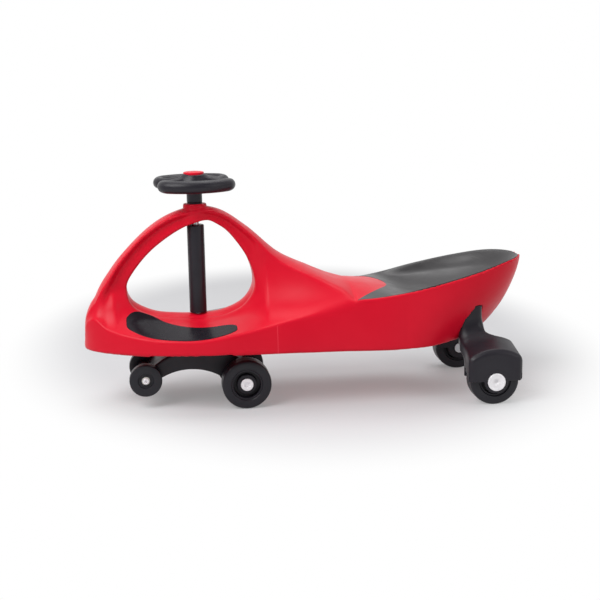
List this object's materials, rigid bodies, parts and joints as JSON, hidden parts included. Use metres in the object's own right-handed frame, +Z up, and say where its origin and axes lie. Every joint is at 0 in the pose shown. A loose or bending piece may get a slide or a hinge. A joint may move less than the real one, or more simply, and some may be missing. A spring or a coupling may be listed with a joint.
{
  "type": "wiggle car",
  "caption": "Ride-on wiggle car: moulded body with an open arch over the steering column, dished seat, turning front truck and fork-held rear wheels.",
  "frame": {"origin": "on the floor, under the middle of the body's length and of the car's width", "axes": "+X towards the tail, +Y towards the car's right side, +Z up"},
  "size_m": [0.783, 0.311, 0.408],
  "materials": {
    "red_plastic": "satin moulded polypropylene",
    "seat_plastic": "warm dark grey, fine grain",
    "black_plastic": "black, fine grain",
    "tyre": "matt black polyurethane",
    "steel": "zinc plated",
    "bright_metal": "bright plated, slightly dulled",
    "nylon": "natural nylon"
  },
  "bodies": {
    "body": {"body_shell": "red_plastic", "underside_pan": "red_plastic", "pan_screws": "steel", "seat_cover": "seat_plastic", "footrest_pad_left": "black_plastic", "footrest_pad_right": "black_plastic", "upper_bush": "black_plastic", "lower_bush": "nylon", "rear_fork_left": "black_plastic", "rear_fork_right": "black_plastic", "fork_bolts": "steel", "rear_axle_left": "steel", "rear_axle_right": "steel", "rear_axle_caps": "bright_metal"},
    "steering": {"steering_wheel": "black_plastic", "wheel_cap": "red_plastic", "wheel_bolt": "steel", "wheel_washer": "steel", "steering_shaft": "steel", "column_sleeve": "black_plastic", "thrust_washer": "nylon", "truck_frame": "black_plastic", "truck_washer": "steel", "truck_nut": "steel", "main_axle": "steel", "main_axle_screws": "bright_metal", "safety_axle": "steel", "safety_axle_screws": "bright_metal"},
    "main_wheel_left": {"main_tyre_left": "tyre", "main_hub_left": "black_plastic", "main_bushes_left": "nylon"},
    "main_wheel_right": {"main_tyre_right": "tyre", "main_hub_right": "black_plastic", "main_bushes_right": "nylon"},
    "safety_wheel_left": {"safety_wheel_left": "tyre", "safety_bush_left": "nylon"},
    "safety_wheel_right": {"safety_wheel_right": "tyre", "safety_bush_right": "nylon"},
    "rear_wheel_left": {"rear_tyre_left": "tyre", "rear_hub_left": "black_plastic", "rear_bushes_left": "nylon"},
    "rear_wheel_right": {"rear_tyre_right": "tyre", "rear_hub_right": "black_plastic", "rear_bushes_right": "nylon"}
  },
  "joints": [
    {"name": "steering_turn", "type": "hinge", "parent": "body", "child": "steering", "pos_m": [-0.192, 0, 0.107], "axis": [0, 0, 1], "continuous": true},
    {"name": "main_wheel_left_spin", "type": "hinge", "parent": "steering", "child": "main_wheel_left", "pos_m": [-0.116, -0.069, 0.043], "axis": [0, 1, 0], "continuous": true},
    {"name": "main_wheel_right_spin", "type": "hinge", "parent": "steering", "child": "main_wheel_right", "pos_m": [-0.116, 0.069, 0.043], "axis": [0, 1, 0], "continuous": true},
    {"name": "safety_wheel_left_spin", "type": "hinge", "parent": "steering", "child": "safety_wheel_left", "pos_m": [-0.29, -0.05, 0.052], "axis": [0, 1, 0], "continuous": true},
    {"name": "safety_wheel_right_spin", "type": "hinge", "parent": "steering", "child": "safety_wheel_right", "pos_m": [-0.29, 0.05, 0.052], "axis": [0, 1, 0], "continuous": true},
    {"name": "rear_wheel_left_spin", "type": "hinge", "parent": "body", "child": "rear_wheel_left", "pos_m": [0.31, -0.126, 0.043], "axis": [0, 1, 0], "continuous": true},
    {"name": "rear_wheel_right_spin", "type": "hinge", "parent": "body", "child": "rear_wheel_right", "pos_m": [0.31, 0.126, 0.043], "axis": [0, 1, 0], "continuous": true}
  ]
}
